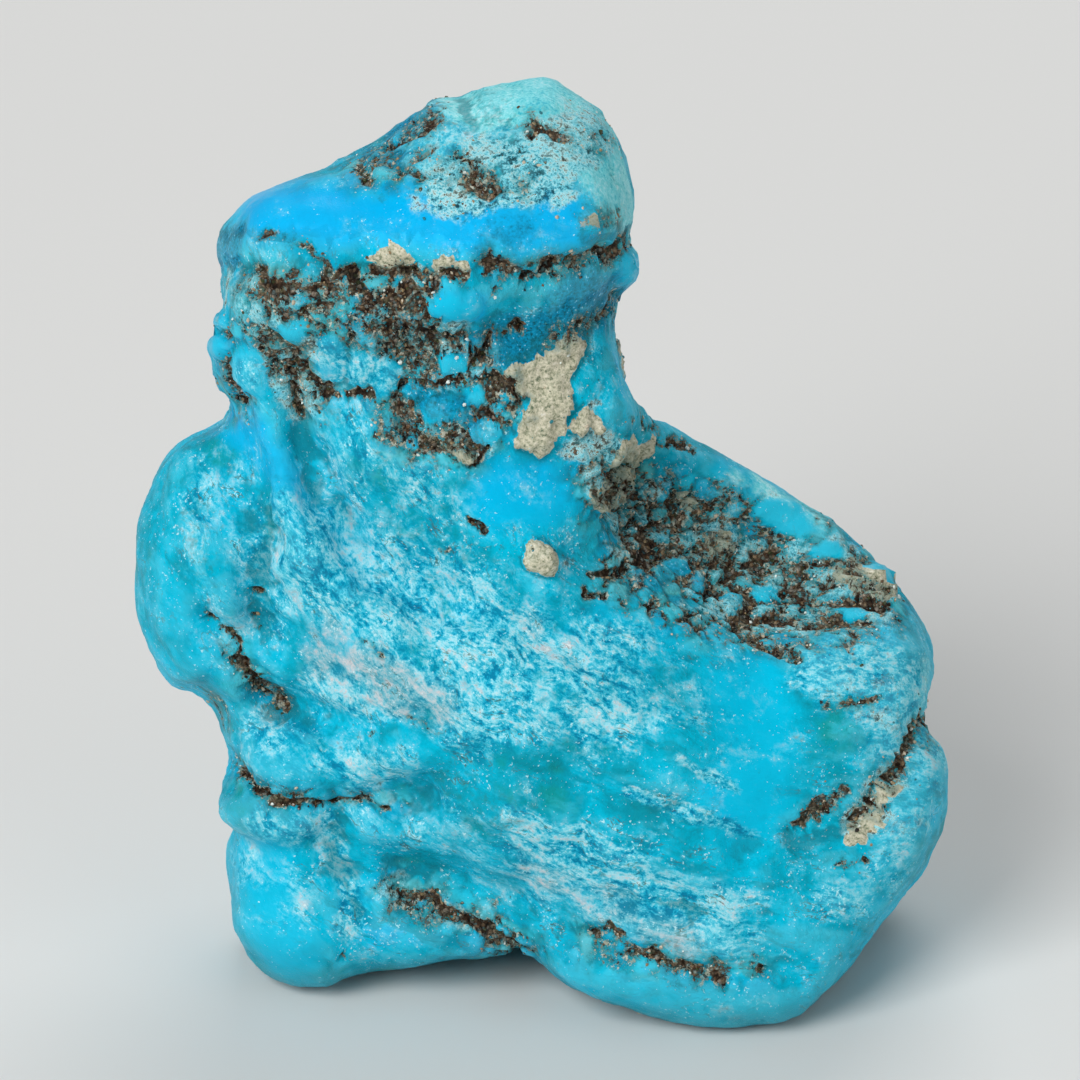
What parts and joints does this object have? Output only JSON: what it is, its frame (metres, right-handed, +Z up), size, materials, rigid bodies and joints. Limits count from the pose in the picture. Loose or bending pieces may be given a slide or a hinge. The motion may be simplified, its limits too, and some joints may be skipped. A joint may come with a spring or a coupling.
{
  "type": "raw turquoise nugget",
  "caption": "Upright lumpy natural stone: a broad rounded body with a shelf on its right shoulder, a thick neck and an overhanging head, standing on two worn feet.",
  "frame": {"origin": "middle of the bounding box's underside, on the plane that the stone stands on", "axes": "+Z up through the head; -Y out of the stone's front face, which has the shelf on its right; +X to the right of that face"},
  "size_m": [0.0254, 0.0148, 0.0289],
  "materials": {
    "turquoise": "waxy semi-gloss raw turquoise, sky blue with pale chalky streaks and crumbly brown limonite matrix in its creases and hollows"
  },
  "bodies": {
    "root": {"nugget": "turquoise"}
  },
  "joints": []
}
